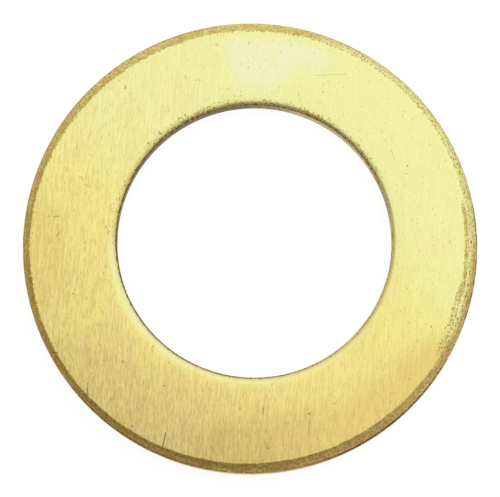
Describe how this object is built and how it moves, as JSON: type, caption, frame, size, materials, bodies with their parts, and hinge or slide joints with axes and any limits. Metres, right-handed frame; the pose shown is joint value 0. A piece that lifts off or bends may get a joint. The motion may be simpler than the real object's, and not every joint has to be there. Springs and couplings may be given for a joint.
{
  "type": "flat washer",
  "caption": "Thin brass flat washer with a chamfered upper rim, a rounded bore mouth and a slightly off-centre bore.",
  "frame": {"origin": "on the bore's axis, in the plane of the lower face", "axes": "+Z along the bore's axis, from the lower face to the chamfered upper face; +X and +Y in the plane of the ring"},
  "size_m": [0.02, 0.02, 0.001],
  "materials": {
    "brass": "rolled and stamped sheet, satin, lightly tarnished"
  },
  "bodies": {
    "root": {"washer": "brass"}
  },
  "joints": []
}
